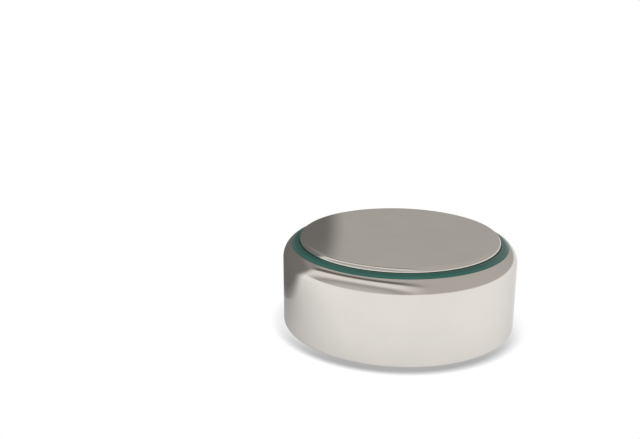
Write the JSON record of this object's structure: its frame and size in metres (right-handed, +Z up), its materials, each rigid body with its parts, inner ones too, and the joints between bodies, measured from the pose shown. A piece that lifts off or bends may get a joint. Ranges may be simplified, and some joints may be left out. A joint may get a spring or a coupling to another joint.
{
  "type": "watch battery",
  "caption": "Flat round alkaline button cell: a steel can crimped over a green sealing ring that surrounds a flat raised cap.",
  "frame": {"origin": "middle of the positive base, on the surface that the cell lies on", "axes": "+Z up along the cell's axis, through the negative cap; the cell is round, so X and Y are alike"},
  "size_m": [0.0068, 0.0068, 0.0026],
  "materials": {
    "plated_can": "bright nickel plate, finely drawn",
    "clad_cap": "satin nickel face on clad steel",
    "green_nylon": "glossy moulded nylon",
    "inner_steel": "plain steel strip",
    "cathode_mix": "pressed manganese dioxide and graphite",
    "barrier_film": "thin cellulose film",
    "pad_fibre": "non-woven fibre, wet with electrolyte",
    "zinc_gel": "zinc powder in clear gel"
  },
  "bodies": {
    "root": {"positive_can": "plated_can", "cathode_ring": "inner_steel", "cathode_pellet": "cathode_mix", "separator_film": "barrier_film", "absorbent_pad": "pad_fibre", "sealing_gasket": "green_nylon", "anode_gel": "zinc_gel", "negative_cap": "clad_cap"}
  },
  "joints": []
}
